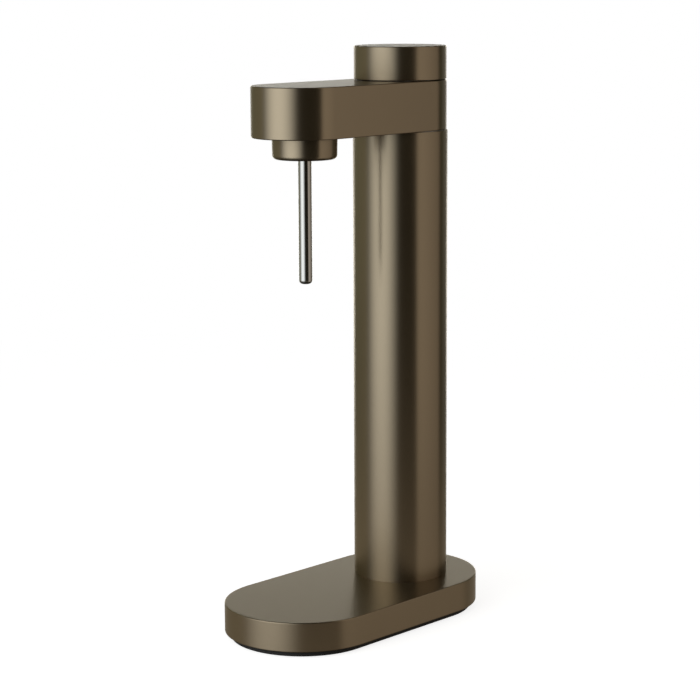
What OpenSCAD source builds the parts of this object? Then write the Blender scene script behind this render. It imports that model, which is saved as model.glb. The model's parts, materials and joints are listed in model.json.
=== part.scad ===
// Counter-top sparkling water maker: a slim column on a long round-ended base, with an arm at
// its top that carries a bottle collar and a carbonating tube. A gas cylinder stands inside
// the column, screwed into the valve body from below, behind a bayonet hatch. Turning the
// knob clockwise winds a cam down on a sprung follower, whose rod opens the cylinder's valve
// pin. Front is -Y, up is +Z, the origin is on the table under the middle of the base.

/* [Base] */
// Half width of the base and radius of its round ends
base_r = 58; // [48:0.5:70]
// Distance between the centres of the round ends, from column axis to front
reach = 107.5; // [90:0.5:130]
// Height of the base shell above its foot pad
base_h = 21.8; // [21:0.2:28]
// Side wall of the base shell
base_wall = 3; // [2:0.5:3.5]
// Top wall of the base shell
base_top_wall = 3; // [2.5:0.5:4]
// Rounding of the base shell's edges
base_edge_r = 0.8; // [0.4:0.1:1.5]
// Thickness of the rubber foot pad
pad_h = 4.2; // [1.5:0.1:5]
// How far the foot pad stands in from the base shell
pad_inset = 4.5; // [1:0.5:6]
// Thickness of the steel ballast plate
ballast_h = 12; // [6:1:12]

/* [Column] */
// Outer radius of the column tube
column_r = 35.25; // [35:0.25:37]
// Wall of the column tube
column_wall = 2; // [1.5:0.25:2]
// Shadow gap between the column tube and the arm
column_seam = 0.4; // [0.2:0.1:1]

/* [Arm] */
// Half width of the arm and radius of its round ends
arm_r = 34.5; // [34:0.5:38]
// Height of the arm
arm_h = 36.5; // [35:0.5:44]
// Side wall of the arm shell
arm_wall = 3; // [2:0.5:3]
// Top wall of the arm shell
arm_top_wall = 3; // [2:0.5:4]
// Rounding of the arm shell's edges
arm_edge_r = 0.9; // [0.4:0.1:1.5]
// Thickness of the plate that closes the arm from below
plate_t = 3; // [2.5:0.5:4]

/* [Knob] */
// Outer radius of the knob
knob_r = 34.3; // [33.5:0.1:36]
// Height of the knob
knob_h = 24.5; // [24:0.1:30]
// Gap between the knob and the arm
knob_gap = 0.6; // [0.5:0.1:1.5]
// Side wall of the knob shell
knob_wall = 2.5; // [1.5:0.25:2.5]
// Top wall of the knob shell
knob_top_wall = 3; // [2:0.25:3]
// Rounding of the knob shell's upper edge
knob_edge_r = 0.9; // [0.4:0.1:1.5]
// Rounding of the knob shell's lower edge
knob_lower_edge_r = 0.4; // [0.2:0.1:1]
// Turn of the knob from closed to fully open, in degrees
knob_turn = 60; // [40:1:60]
// Drop of the follower over the whole turn
cam_drop = 2.5; // [1.5:0.1:2.5]

/* [Bottle collar and tube] */
// Distance from the centre of the arm's front end back to the axis of the collar and the tube
nozzle_offset = 5; // [1.5:0.5:9]
// Outer radius of the bottle collar at its top
collar_r = 23.4; // [23:0.1:26]
// Taper of the collar's radius over its height
collar_taper = 0.25; // [0:0.05:0.5]
// Height of the bottle collar
collar_h = 15.6; // [14:0.2:22]
// Rounding of the collar's lower edge
collar_edge_r = 3; // [0.5:0.1:3]
// Radius of the socket that takes the bottle's neck
socket_r = 18; // [16.5:0.1:18]
// Outer radius of the carbonating tube
tube_r = 4.8; // [4:0.1:5]
// Wall of the carbonating tube
tube_wall = 1; // [0.6:0.1:1.2]
// Length of the carbonating tube below the collar
tube_drop = 89.5; // [60:0.5:120]
// Rounding of the carbonating tube's tip
tube_tip_r = 2.8; // [1:0.1:3]
// Radius of the outlet in the tube's tip
outlet_r = 0.8; // [0.5:0.1:1.5]

/* [Gas cylinder] */
// Outer radius of the gas cylinder
gas_r = 30; // [28:0.25:30]
// Height of the gas cylinder with its valve
gas_h = 351.7; // [300:0.1:380]
// Wall of the gas cylinder
gas_wall = 3; // [2:0.5:5]
// Radius of the thread on the cylinder's valve
gas_thread_r = 10.45; // [9.5:0.05:10.5]

/* [Hidden] */
$fn = 96;

// Overrun of a cutter past the face it opens
cut = 1;
// Radial clearance of a running fit
running_fit = 0.06;
// Radial clearance of a thread or a glued or pressed seat
seat_fit = 0.05;
// Clearance between pieces that move past each other
clear = 0.3;

// Axes: the column stands over the rear end centre, the front end centre is `reach` before it
column_y = reach / 2;
front_y = -reach / 2;
nozzle_y = front_y + nozzle_offset;

// Screw sizes: thread radius, head radius, head height and radius of the driver's hex; the screws
// that hold the bottom plate and the arm's plate have a flat head of M3's width, let in flush
m4_r = 2;
m4_head_r = 3.5;
m4_head_h = 2.5;
m4_hex_r = 1.6;
m3_r = 1.5;
m3_head_r = 2.75;
m3_head_h = 1.8;
m3_hex_r = 1.2;
plate_screw_head_h = 1.3;
hex_depth_share = 0.6;
screw_hole_fit = 0.2;
m4_hole_r = m4_r + screw_hole_fit;
m3_hole_r = m3_r + screw_hole_fit;
m4_tapped_r = m4_r + seat_fit;
m3_tapped_r = m3_r + seat_fit;

// Base, from the table up
base_z0 = pad_h;
base_top_z = base_z0 + base_h;
bottom_plate_t = 2.5;
bottom_plate_top_z = base_z0 + bottom_plate_t;
base_cavity_r = base_r - base_wall;
bottom_plate_r = base_cavity_r - clear;
column_boss_h = 4;
foot_flange_t = 4;
foot_flange_w = 8.6;
foot_flange_r = column_r + foot_flange_w;
foot_screw_ring_r = column_r + foot_flange_w / 2;
column_boss_r = foot_flange_r;
foot_flange_top_z = base_top_z - base_top_wall - column_boss_h;
column_z0 = foot_flange_top_z - foot_flange_t;
foot_screw_angles = [45, 135, 225, 315];
foot_screw_grip = 4.8;
foot_screw_spare = 0.4;

// Bayonet hatch under the column
gas_opening_clear = 1.9;
hatch_ring_in_r = gas_r + gas_opening_clear;
hatch_spigot_r = hatch_ring_in_r - clear;
hatch_spigot_w = 2.4;
lug_reach = 2.4;
lug_r = hatch_spigot_r + lug_reach;
lug_groove_r = lug_r + clear;
hatch_ring_w = 2.4;
hatch_ring_out_r = lug_groove_r + hatch_ring_w;
hatch_hole_w = 0.9;
hatch_hole_r = lug_groove_r + hatch_hole_w;
hatch_disc_r = hatch_hole_r - clear;
lug_angle = 24;
lug_count = 3;
hatch_turn = 45;
lip_h = 1.5;
lug_groove_h = 2.4;
top_lip_h = 1.2;
hatch_ring_top_z = bottom_plate_top_z + lip_h + lug_groove_h + top_lip_h;
lug_z0 = bottom_plate_top_z + lip_h + clear;
lug_h = lug_groove_h - 2 * clear;
hatch_spigot_drop = 0.2;
hatch_spigot_top_z = hatch_ring_top_z - hatch_spigot_drop;
hatch_pad_r = 25;
grip_l = 44;
grip_w = 8;
grip_h = 1.3;
pad_hole_w = 3;
pad_hole_r = hatch_disc_r + pad_hole_w;
lug_slack_angle = 1.5;

// Screws that hold the bottom plate: in front in bosses on the base shell, behind in posts on the
// column's foot flange, which stand just outside the hatch's ring
plate_boss_r = 4;
plate_screw_grip = 9;
plate_screw_spare = 1;
plate_boss_inset = 7.5;
middle_boss_gap = 15;
front_boss_angle = 45;
plate_boss_ring_r = base_cavity_r - plate_boss_inset;
plate_boss_places = [
    for (side = [-1, 1]) each [
        [side * plate_boss_ring_r * cos(front_boss_angle), front_y - plate_boss_ring_r * sin(front_boss_angle)],
        [side * plate_boss_ring_r, column_y - foot_flange_r - middle_boss_gap]
    ]
];
plate_post_r = 3.5;
plate_post_gap = 0.8;
plate_post_angle = 65;
plate_post_ring_r = hatch_ring_out_r + plate_post_gap + plate_post_r;
plate_post_places = [
    for (side = [-1, 1])
        [side * plate_post_ring_r * cos(plate_post_angle), column_y + plate_post_ring_r * sin(plate_post_angle)]
];
plate_screw_places = concat(plate_boss_places, plate_post_places);
ballast_clear = 1.5;

// Gas cylinder, from its foot up
gas_foot_gap = 0.4;
gas_z0 = hatch_ring_top_z + gas_foot_gap;
gas_foot_r = 4;
gas_foot_least_r = 1;
gas_neck_r = 13;
gas_neck_bore_r = 9;
gas_neck_h = 6.2;
gas_valve_reach = 26.2;
gas_valve_z0 = gas_z0 + gas_h - gas_valve_reach;
gas_dome_z = gas_valve_z0 - gas_neck_h - gas_r;
valve_hex_r = 12.8;
valve_hex_h = 10;
gas_thread_z0 = gas_valve_z0 + valve_hex_h;
gas_top_z = gas_z0 + gas_h;
valve_plug_h = 12;
pin_r = 1.8;
pin_bore_r = 3;
pin_guide_r = pin_r + clear;
pin_head_r = 2.9;
pin_head_h = 2;
pin_cavity_r = 3.5;
pin_top_drop = 1.2;
pin_top_z = gas_top_z - pin_top_drop;
pin_l = 13;
pin_head_z0 = pin_top_z - pin_l;
pin_cavity_top_z = pin_head_z0 + pin_head_h + clear;
pin_guide_h = 3.7;
pin_spring_h = 8;
pin_cavity_z0 = pin_head_z0 - pin_spring_h;
pin_wire_r = 0.35;
pin_mean_r = pin_head_r - 2 * pin_wire_r;
pin_turns = 5;
gas_passage_r = 1;

// Arm, from its underside up
gas_top_gap = 1;
arm_z0 = gas_top_z + gas_top_gap;
arm_top_z = arm_z0 + arm_h;
column_top_z = arm_z0 - column_seam;
column_bore_r = column_r - column_wall;
plate_top_z = arm_z0 + plate_t;
arm_cavity_r = arm_r - arm_wall;
arm_plate_r = arm_cavity_r - 3 * seat_fit;
arm_ceiling_z = arm_top_z - arm_top_wall;
arm_boss_r = 3.5;
arm_screw_grip = 12;
arm_screw_inset = 6.5;
arm_screw_gap = 24;
arm_front_screw_angle = 52;
arm_screw_ring_r = arm_cavity_r - arm_screw_inset;
arm_screw_places = [
    for (side = [-1, 1]) each [
        [side * arm_screw_ring_r * cos(arm_front_screw_angle),
         front_y - arm_screw_ring_r * sin(arm_front_screw_angle)],
        [side * arm_screw_ring_r, column_y - column_r - arm_screw_gap]
    ]
];

// Head ring in the top of the column
head_ring_h = 10;
head_ring_in_r = 18;
head_ring_z0 = arm_z0 - head_ring_h;

// Valve body, on the arm's base plate
valve_body_r = 16;
valve_body_fit = 0.3;
valve_flange_r = 28;
valve_flange_t = 4;
valve_flange_top_z = plate_top_z + valve_flange_t;
valve_socket_h = 13.2;
valve_body_z0 = gas_top_z - valve_socket_h;
socket_bore_r = gas_thread_r + seat_fit;
seal_gap = 0.2;
seal_z0 = gas_top_z + seal_gap;
cylinder_seal_t = 2;
cylinder_seal_r = 7.4;
cylinder_seal_in_r = 3.5;
chamber_r = 4.2;
outlet_lift = 9.8;
outlet_z = plate_top_z + outlet_lift;
chamber_over = 2;
chamber_top_z = outlet_z + chamber_over;
rod_guide_h = 8;
valve_top_z = chamber_top_z + rod_guide_h;
rod_r = 2.5;
rod_bore_r = rod_r + running_fit;
rod_seal_r = 5;
rod_seal_t = 2.4;
rod_seal_floor = 2;
rod_seal_z0 = chamber_top_z + rod_seal_floor;
valve_screw_ring_r = 23;
valve_screw_angles = [30, 150, 240, 300];
valve_screw_spare = 1;
port_r = 5;
port_reach = 5;
port_bore_r = 1.2;
port_seat = 3.8;
valve_port_end = valve_body_r + port_reach;

// Nozzle head's own ports, over the collar
head_r = 13;
head_port_end = head_r + port_reach;

// Gas line between the valve body and the nozzle head
line_r = 2;
line_wall = 0.8;
line_bore_r = line_r + seat_fit;
line_nut_r = 6.2;
line_nut_l = 9;
line_rear_y = column_y - valve_port_end + port_seat - clear;
line_front_y = nozzle_y + head_port_end - port_seat + clear;

// Knob bearing: a flanged sleeve that guides the follower inside and the knob outside
bearing_flange_r = 27;
bearing_flange_t = 3;
bearing_flange_top_z = arm_top_z + bearing_flange_t;
follower_r = 9.5;
sleeve_bore_r = follower_r + running_fit;
sleeve_r = 13;
sleeve_hole_r = sleeve_r + clear;
shoulder_r = 15.5;
bolt_ring_r = 22;
bolt_angles = [90, 210, 330];
bolt_grip = 3;
pin_slot_clear = 0.3;
cross_pin_r = 1.5;
cross_pin_end = 20.2;
cross_pin_lift = 8.3;
cross_pin_z = arm_top_z + cross_pin_lift;
shoulder_over = 0.2;
shoulder_top_z = cross_pin_z + cross_pin_r + shoulder_over;
slot_w = 2 * (cross_pin_r + pin_slot_clear);
slot_z0 = cross_pin_z - cross_pin_r - cam_drop - clear;

// Knob, from the arm up
knob_z0 = arm_top_z + knob_gap;
knob_top_z = knob_z0 + knob_h;
knob_bore_r = knob_r - knob_wall;
web_t = 4;
web_top_z = knob_top_z - knob_top_wall;
web_z0 = web_top_z - web_t;
sleeve_drop = 1.3;
sleeve_top_z = web_z0 - sleeve_drop;
nut_seat_z = sleeve_top_z - clear;
nut_r = 15.5;
nut_h = 2.6;
nut_slot_angles = [45, 135];
nut_thread_r = 11.5;
nut_pocket_gap = 0.5;
nut_pocket_r = nut_r + nut_pocket_gap;
hub_tube_r = 17.5;
hub_bearing_z0 = shoulder_top_z + clear;
cam_seat_gap = 0.1;
cam_in_r = hub_tube_r + cam_seat_gap;
cam_out_r = 20.8;
cam_face_z = cross_pin_z + cross_pin_r + clear;
cam_lead_angle = 12;
cam_step_angle = 6;
lug_ring_r = 25;
lug_w = 5.2;
lug_l = 4;
stop_lug_gap = 0.4;
stop_lug_z0 = bearing_flange_top_z + m4_head_h + stop_lug_gap;
stop_pin_r = 1.5;
stop_pin_h = 5.4;
stop_pin_offset_angle = asin((lug_w / 2 + clear + stop_pin_r) / lug_ring_r);
stop_lug_angle = 120;

// Follower, push rod and return spring
follower_h = 10;
follower_z0 = cross_pin_z - follower_h / 2;
rod_z0 = pin_top_z + clear;
rod_seat = 2.9;
return_wire_r = 0.9;
return_mean_r = 7.4;
return_turns = 6;
wire_sides = 8;
wire_steps = 14;
fine_wire_sides = 6;
fine_wire_steps = 12;

// Nozzle head, tube and collar
head_h = 19;
head_top_z = plate_top_z + head_h;
spigot_r = 8;
spigot_gap = 0.2;
spigot_hole_r = spigot_r + spigot_gap;
collar_z0 = arm_z0 - collar_h;
collar_roof_t = 3.5;
collar_roof_z = arm_z0 - collar_roof_t;
nozzle_nut_r = 10.5;
nozzle_nut_h = 4;
nozzle_nut_z0 = collar_roof_z - nozzle_nut_h;
tube_bore_r = tube_r - tube_wall;
tube_seat_r = tube_r + seat_fit;
tube_lift = 1.8;
tube_top_z = plate_top_z + tube_lift;
tube_tip_z = collar_z0 - tube_drop;
tube_tip_wall = 4.5;
head_passage_r = 3;
head_passage_over = 2;
o_ring_r = 6;
o_ring_t = 2;
o_ring_lift = 1;
o_ring_z0 = collar_roof_z + o_ring_lift;
collar_lower_r = collar_r - collar_taper;
collar_screw_angles = [30, 150, 270];
collar_screw_grip = 8;
collar_screw_ring_r = (socket_r + collar_r) / 2;
bottle_seal_t = 3;
bottle_seal_r = socket_r - clear;
bottle_seal_gap = 0.5;
bottle_seal_in_r = nozzle_nut_r + bottle_seal_gap;

// Relief valve, on the nozzle head
relief_bore_h = 5.2;
relief_seat_z = head_top_z - relief_bore_h;
relief_seat_r = 2;
relief_bore_r = 5.2;
relief_thread_r = 6.5;
relief_thread_h = 2;
poppet_r = 4.6;
poppet_h = 2;
poppet_gap = 0.1;
poppet_z0 = relief_seat_z + poppet_gap;
stem_r = 1.5;
relief_cap_r = 8;
relief_cap_h = 6;
relief_cap_top_z = head_top_z + relief_cap_h;
relief_cap_wall = 2;
relief_roof_z = relief_cap_top_z - relief_cap_wall;
stem_drop = 0.8;
stem_top_z = relief_cap_top_z - stem_drop;
relief_wire_r = 0.45;
relief_mean_r = 3.2;
relief_turns = 5;
vent_r = 0.7;
vent_ring_r = 4.1;
vent_angles = [45, 135, 225, 315];

bronze = [0.37, 0.33, 0.25];
dark_bronze = [0.3, 0.26, 0.2];
steel = [0.72, 0.73, 0.74];
dark_steel = [0.35, 0.36, 0.38];
brass = [0.78, 0.64, 0.34];
rubber = [0.08, 0.08, 0.08];
plastic = [0.16, 0.16, 0.17];
white_plastic = [0.85, 0.85, 0.82];
silicone = [0.75, 0.75, 0.72];
aluminium = [0.8, 0.8, 0.8];

// Places the children on the column's axis
module at_column() translate([0, column_y, 0]) children();

// Places the children on the axis of the collar and the tube
module at_nozzle() translate([0, nozzle_y, 0]) children();

// Ring of places: the children at each angle, turned outwards
module ring_of(angles, r) {
    for (a = angles)
        rotate(a) translate([r, 0, 0]) children();
}

// Half outline of a plate with rounded upper and lower edges, from the axis out to r
module rounded_half(r, h, top_r, bottom_r) {
    square([r - top_r, h]);
    square([r - bottom_r, h - top_r]);
    translate([0, bottom_r]) square([r, h - top_r - bottom_r]);
    translate([r - top_r, h - top_r]) circle(top_r);
    translate([r - bottom_r, bottom_r]) circle(bottom_r);
}

// Runs a half outline round the two end centres and straight between them
module round_ended() {
    at_column() rotate_extrude(angle = 180) children();
    translate([0, front_y, 0]) rotate(180) rotate_extrude(angle = 180) children();
    at_column() rotate([90, 0, 0]) linear_extrude(reach) {
        children();
        mirror([1, 0]) children();
    }
}

// Round-ended plate of radius r, from z0 to z1
module round_ended_plate(r, z0, z1) {
    translate([0, 0, z0]) round_ended() square([r, z1 - z0]);
}

// Cylinder between two heights
module rod(r, z0, z1) translate([0, 0, z0]) cylinder(r = r, h = z1 - z0);

// Ring between two heights
module ring(out_r, in_r, z0, z1) {
    difference() {
        rod(out_r, z0, z1);
        rod(in_r, z0 - cut, z1 + cut);
    }
}

// Socket head screw: head up from zero, shank down
module socket_screw(r, l, head_r, head_h, hex_r) {
    rod(r, -l, 0);
    difference() {
        rod(head_r, 0, head_h);
        translate([0, 0, head_h * (1 - hex_depth_share)]) cylinder(r = hex_r, h = head_h, $fn = 6);
    }
}

// Countersunk screw seen from below: flat head at zero, shank up
module countersunk_screw(r, l, head_r, head_h, hex_r) {
    difference() {
        union() {
            cylinder(r1 = head_r, r2 = r, h = head_h);
            rod(r, 0, l);
        }
        translate([0, 0, -cut]) cylinder(r = hex_r, h = cut + head_h * hex_depth_share, $fn = 6);
    }
}

// Coil spring of round wire between two flat seats
module coil_spring(z0, z1, mean_r, wire_r, turns, sides, steps) {
    count = turns * steps;
    rise = z1 - z0 - 2 * wire_r;
    points = [
        for (i = [0:count]) for (j = [0:sides - 1])
            let (a = 360 * i / steps, b = 360 * j / sides, r = mean_r + wire_r * cos(b))
            [r * cos(a), r * sin(a), z0 + wire_r + rise * i / count + wire_r * sin(b)]
    ];
    walls = [
        for (i = [0:count - 1]) for (j = [0:sides - 1])
            let (k = (j + 1) % sides, p = i * sides, q = p + sides)
            each [[p + j, p + k, q + k], [p + j, q + k, q + j]]
    ];
    first_cap = [for (j = [sides - 1:-1:0]) j];
    last_cap = [for (j = [0:sides - 1]) count * sides + j];
    polyhedron(points = points, faces = concat(walls, [first_cap], [last_cap]));
}

// Base

module foot_pad() {
    color(rubber) difference() {
        round_ended_plate(base_r - pad_inset, 0, pad_h);
        at_column() rod(pad_hole_r, -cut, pad_h + cut);
    }
}

module base_shell() {
    color(bronze) difference() {
        union() {
            difference() {
                translate([0, 0, base_z0])
                    round_ended() rounded_half(base_r, base_h, base_edge_r, base_edge_r);
                round_ended_plate(base_cavity_r, base_z0 - cut, base_top_z - base_top_wall);
            }
            at_column() rod(column_boss_r, foot_flange_top_z, base_top_z - base_top_wall / 2);
            for (p = plate_boss_places)
                translate(p) rod(plate_boss_r, bottom_plate_top_z, base_top_z - base_top_wall / 2);
        }
        at_column() rod(column_r + seat_fit, base_z0 - cut, base_top_z + cut);
        at_column() ring_of(foot_screw_angles, foot_screw_ring_r)
            rod(m4_tapped_r, foot_flange_top_z - cut, foot_flange_top_z + foot_screw_grip + foot_screw_spare);
        for (p = plate_boss_places)
            translate(p) rod(m3_tapped_r, base_z0, base_z0 + plate_screw_grip + plate_screw_spare);
    }
}

// Sectors for the hatch's lugs, each lug_angle wide and centred on its place
module lug_sectors(out_r, in_r, z0, z1, spread) {
    for (i = [0:lug_count - 1])
        rotate(i * 360 / lug_count - spread / 2)
            rotate_extrude(angle = spread)
                translate([in_r, z0]) square([out_r - in_r, z1 - z0]);
}

module bottom_plate() {
    color(plastic) difference() {
        union() {
            round_ended_plate(bottom_plate_r, base_z0, bottom_plate_top_z);
            at_column() rod(hatch_ring_out_r, base_z0, hatch_ring_top_z);
        }
        at_column() {
            rod(hatch_hole_r, base_z0 - cut, bottom_plate_top_z);
            rod(hatch_ring_in_r, base_z0 - cut, hatch_ring_top_z + cut);
            rod(lug_groove_r, bottom_plate_top_z + lip_h, bottom_plate_top_z + lip_h + lug_groove_h);
            rotate(-hatch_turn)
                lug_sectors(lug_groove_r, hatch_ring_in_r - cut, bottom_plate_top_z - cut,
                            bottom_plate_top_z + lip_h + cut, lug_angle + 2 * lug_slack_angle);
        }
        for (p = plate_screw_places) translate(p) {
            rod(m3_hole_r, base_z0 - cut, bottom_plate_top_z + cut);
            translate([0, 0, base_z0])
                cylinder(r1 = m3_head_r + screw_hole_fit, r2 = m3_hole_r, h = plate_screw_head_h);
        }
    }
}

module bottom_plate_screws() {
    color(steel) for (p = plate_screw_places)
        translate([p[0], p[1], base_z0])
            countersunk_screw(m3_r, plate_screw_grip, m3_head_r, plate_screw_head_h, m3_hex_r);
}

module ballast_plate() {
    color(dark_steel) difference() {
        round_ended_plate(bottom_plate_r - ballast_clear, bottom_plate_top_z, bottom_plate_top_z + ballast_h);
        translate([-base_r, column_y - column_boss_r - ballast_clear, base_z0])
            cube([2 * base_r, 2 * base_r, base_h]);
        for (p = plate_boss_places)
            translate(p) rod(plate_boss_r + ballast_clear, base_z0, base_top_z);
    }
}

module hatch_cover() {
    color(plastic) at_column() {
        rod(hatch_disc_r, base_z0, bottom_plate_top_z);
        ring(hatch_spigot_r, hatch_spigot_r - hatch_spigot_w, bottom_plate_top_z - cut, hatch_spigot_top_z);
        lug_sectors(lug_r, hatch_spigot_r - hatch_spigot_w / 2, lug_z0, lug_z0 + lug_h, lug_angle);
        translate([-grip_l / 2, -grip_w / 2, base_z0 - grip_h])
            cube([grip_l, grip_w, grip_h + bottom_plate_t / 2]);
    }
}

module hatch_pad() {
    color(rubber) at_column() rod(hatch_pad_r, bottom_plate_top_z, hatch_ring_top_z);
}

// Column

module column_foot_flange() {
    color(steel) difference() {
        union() {
            at_column() rod(foot_flange_r, column_z0, foot_flange_top_z);
            for (p = plate_post_places)
                translate(p) rod(plate_post_r, bottom_plate_top_z, column_z0 + foot_flange_t / 2);
        }
        at_column() rod(column_r + seat_fit, column_z0 - cut, foot_flange_top_z + cut);
        at_column() ring_of(foot_screw_angles, foot_screw_ring_r)
            rod(m4_hole_r, column_z0 - cut, foot_flange_top_z + cut);
        for (p = plate_post_places)
            translate(p) rod(m3_tapped_r, base_z0, base_z0 + plate_screw_grip + plate_screw_spare);
    }
}

module column_foot_screws() {
    color(steel) at_column() ring_of(foot_screw_angles, foot_screw_ring_r)
        translate([0, 0, column_z0]) mirror([0, 0, 1])
            socket_screw(m4_r, foot_flange_t + foot_screw_grip, m4_head_r, m4_head_h, m4_hex_r);
}

module column_tube() {
    color(bronze) at_column() ring(column_r, column_bore_r, column_z0, column_top_z);
}

module column_head_ring() {
    color(steel) at_column() difference() {
        ring(column_bore_r - seat_fit, head_ring_in_r, head_ring_z0, arm_z0);
        ring_of(valve_screw_angles, valve_screw_ring_r) rod(m4_tapped_r, head_ring_z0 - cut, arm_z0 + cut);
    }
}

// Gas cylinder and its valve

module gas_half(r, wall) {
    foot_r = max(gas_foot_r - wall, gas_foot_least_r);
    intersection() {
        union() {
            translate([0, gas_z0 + wall]) square([r - foot_r, gas_dome_z - gas_z0 - wall]);
            translate([0, gas_z0 + wall + foot_r]) square([r, gas_dome_z - gas_z0 - wall - foot_r]);
            translate([r - foot_r, gas_z0 + wall + foot_r]) circle(foot_r);
            translate([0, gas_dome_z]) circle(r);
        }
        translate([0, gas_z0]) square([gas_r, gas_h]);
    }
}

module gas_cylinder() {
    color(aluminium) at_column() rotate_extrude() difference() {
        union() {
            gas_half(gas_r, 0);
            translate([0, gas_dome_z]) square([gas_neck_r, gas_valve_z0 - gas_dome_z]);
        }
        gas_half(gas_r - gas_wall, gas_wall);
        translate([0, gas_dome_z]) square([gas_neck_bore_r, gas_valve_z0 - gas_dome_z + cut]);
    }
}

module cylinder_valve() {
    color(brass) at_column() difference() {
        union() {
            rod(gas_neck_bore_r - seat_fit, gas_valve_z0 - valve_plug_h, gas_valve_z0);
            translate([0, 0, gas_valve_z0]) cylinder(r = valve_hex_r, h = valve_hex_h, $fn = 6);
            rod(gas_thread_r, gas_thread_z0, gas_top_z);
        }
        rod(pin_bore_r, pin_cavity_top_z + pin_guide_h, gas_top_z + cut);
        rod(pin_guide_r, pin_cavity_top_z - cut, pin_cavity_top_z + pin_guide_h + cut);
        rod(pin_cavity_r, pin_cavity_z0, pin_cavity_top_z);
        rod(gas_passage_r, gas_valve_z0 - valve_plug_h - cut, pin_cavity_z0 + cut);
    }
}

module valve_pin() {
    color(steel) at_column() {
        rod(pin_r, pin_head_z0, pin_top_z);
        rod(pin_head_r, pin_head_z0, pin_head_z0 + pin_head_h);
    }
}

module pin_spring() {
    color(steel) at_column()
        coil_spring(pin_cavity_z0, pin_head_z0, pin_mean_r, pin_wire_r, pin_turns,
                    fine_wire_sides, fine_wire_steps);
}

// Arm

module arm_base_plate() {
    color(dark_steel) difference() {
        round_ended_plate(arm_plate_r, arm_z0, plate_top_z);
        at_column() rod(valve_body_r + valve_body_fit, arm_z0 - cut, plate_top_z + cut);
        at_column() ring_of(valve_screw_angles, valve_screw_ring_r)
            rod(m4_hole_r, arm_z0 - cut, plate_top_z + cut);
        at_nozzle() rod(spigot_hole_r, arm_z0 - cut, plate_top_z + cut);
        at_nozzle() ring_of(collar_screw_angles, collar_screw_ring_r)
            rod(m3_hole_r, arm_z0 - cut, plate_top_z + cut);
        for (p = arm_screw_places) translate(p) {
            rod(m3_hole_r, arm_z0 - cut, plate_top_z + cut);
            translate([0, 0, arm_z0])
                cylinder(r1 = m3_head_r + screw_hole_fit, r2 = m3_hole_r, h = plate_screw_head_h);
        }
    }
}

module arm_shell() {
    color(bronze) difference() {
        union() {
            difference() {
                translate([0, 0, arm_z0])
                    round_ended() rounded_half(arm_r, arm_h, arm_edge_r, arm_edge_r);
                round_ended_plate(arm_cavity_r, arm_z0 - cut, arm_ceiling_z);
            }
            for (p = arm_screw_places) translate(p) rod(arm_boss_r, plate_top_z, arm_top_z - arm_top_wall / 2);
        }
        at_column() rod(sleeve_hole_r, arm_ceiling_z - cut, arm_top_z + cut);
        at_column() ring_of(bolt_angles, bolt_ring_r) rod(m4_hole_r, arm_ceiling_z - cut, arm_top_z + cut);
        for (p = arm_screw_places)
            translate(p) rod(m3_tapped_r, plate_top_z - cut, plate_top_z + arm_screw_grip + m3_r);
    }
}

module arm_screws() {
    color(dark_bronze) for (p = arm_screw_places)
        translate([p[0], p[1], arm_z0])
            countersunk_screw(m3_r, plate_t + arm_screw_grip, m3_head_r, plate_screw_head_h, m3_hex_r);
}

// Valve body and gas line

module valve_body() {
    color(brass) at_column() difference() {
        union() {
            rod(valve_body_r, valve_body_z0, valve_top_z);
            rod(valve_flange_r, plate_top_z, valve_flange_top_z);
            translate([0, 0, outlet_z]) rotate([90, 0, 0]) cylinder(r = port_r, h = valve_port_end);
        }
        rod(socket_bore_r, valve_body_z0 - cut, seal_z0);
        rod(cylinder_seal_r + seat_fit, seal_z0 - cut, seal_z0 + cylinder_seal_t);
        rod(chamber_r, seal_z0, chamber_top_z);
        rod(rod_bore_r, chamber_top_z - cut, valve_top_z + cut);
        rod(rod_seal_r + seat_fit, rod_seal_z0, rod_seal_z0 + rod_seal_t);
        translate([0, 0, outlet_z]) rotate([90, 0, 0]) cylinder(r = port_bore_r, h = valve_port_end + cut);
        translate([0, port_seat - valve_port_end, outlet_z]) rotate([90, 0, 0])
            cylinder(r = line_bore_r, h = port_seat + cut);
        ring_of(valve_screw_angles, valve_screw_ring_r)
            rod(m4_hole_r, plate_top_z - cut, valve_flange_top_z + cut);
        ring_of(bolt_angles, bolt_ring_r)
            rod(m4_tapped_r, plate_top_z - cut, valve_flange_top_z + cut);
    }
}

module valve_body_screws() {
    color(steel) at_column() ring_of(valve_screw_angles, valve_screw_ring_r)
        translate([0, 0, valve_flange_top_z])
            socket_screw(m4_r, valve_flange_t + plate_t + head_ring_h - valve_screw_spare,
                         m4_head_r, m4_head_h, m4_hex_r);
}

module cylinder_seal() {
    color(rubber) at_column() ring(cylinder_seal_r, cylinder_seal_in_r, seal_z0, seal_z0 + cylinder_seal_t);
}

module rod_seal() {
    color(rubber) at_column() ring(rod_seal_r, rod_bore_r, rod_seal_z0, rod_seal_z0 + rod_seal_t);
}

// Length of pipe along -Y from y1 to y0 at the ports' height
module along_line(y1, y0, r, sides = $fn) {
    translate([0, y1, outlet_z]) rotate([90, 0, 0]) cylinder(r = r, h = y1 - y0, $fn = sides);
}

module gas_line() {
    color(steel) difference() {
        along_line(line_rear_y, line_front_y, line_r);
        along_line(line_rear_y + cut, line_front_y - cut, line_r - line_wall);
    }
}

module gas_line_nuts() {
    color(brass) for (y = [column_y - valve_port_end, nozzle_y + head_port_end + line_nut_l])
        difference() {
            along_line(y, y - line_nut_l, line_nut_r, 6);
            along_line(y + cut, y - line_nut_l - cut, line_bore_r);
        }
}

// Knob bearing, knob and cam

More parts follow.
